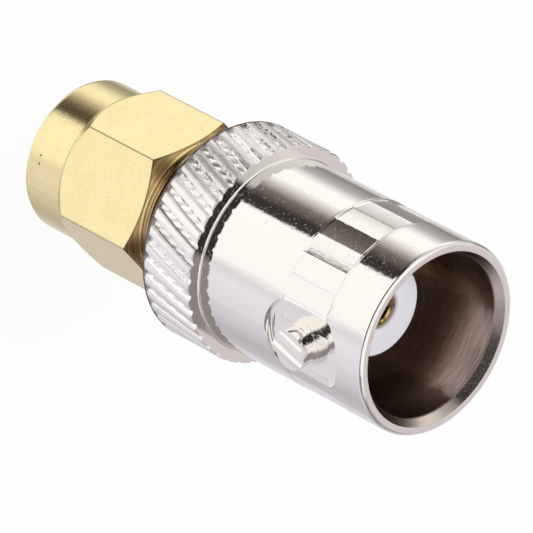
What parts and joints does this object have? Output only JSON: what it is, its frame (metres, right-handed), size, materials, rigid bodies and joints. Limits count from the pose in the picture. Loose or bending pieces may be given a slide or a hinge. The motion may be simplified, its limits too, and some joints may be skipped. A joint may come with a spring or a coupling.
{
  "type": "coax adapter",
  "caption": "Coaxial adapter with a spinning hexagonal coupling nut over a threaded plug at one end and a bayonet jack with a knurled flange at the other.",
  "frame": {"origin": "on the axis, at the front face of the coupling nut, on which the adapter stands", "axes": "+Z along the axis from the nut to the jack's mouth, +X through one bayonet lug"},
  "size_m": [0.0114, 0.011, 0.0246],
  "materials": {
    "nickel": "bright nickel plate",
    "satin_gold": "satin gold plate",
    "gold": "bright gold plate",
    "ptfe": "waxy white",
    "spring_bronze": "plain",
    "silicone": "soft matt"
  },
  "bodies": {
    "adapter": {"jack_body": "nickel", "jack_insulator": "ptfe", "socket_contact": "gold", "plug_shell": "gold", "plug_insulator": "ptfe", "pin_contact": "gold", "snap_ring": "spring_bronze", "gasket": "silicone"},
    "nut": {"coupling_nut": "satin_gold"}
  },
  "joints": [
    {"name": "nut_spin", "type": "hinge", "parent": "adapter", "child": "nut", "pos_m": [0, 0, 0.007], "axis": [0, 0, 1], "continuous": true}
  ]
}
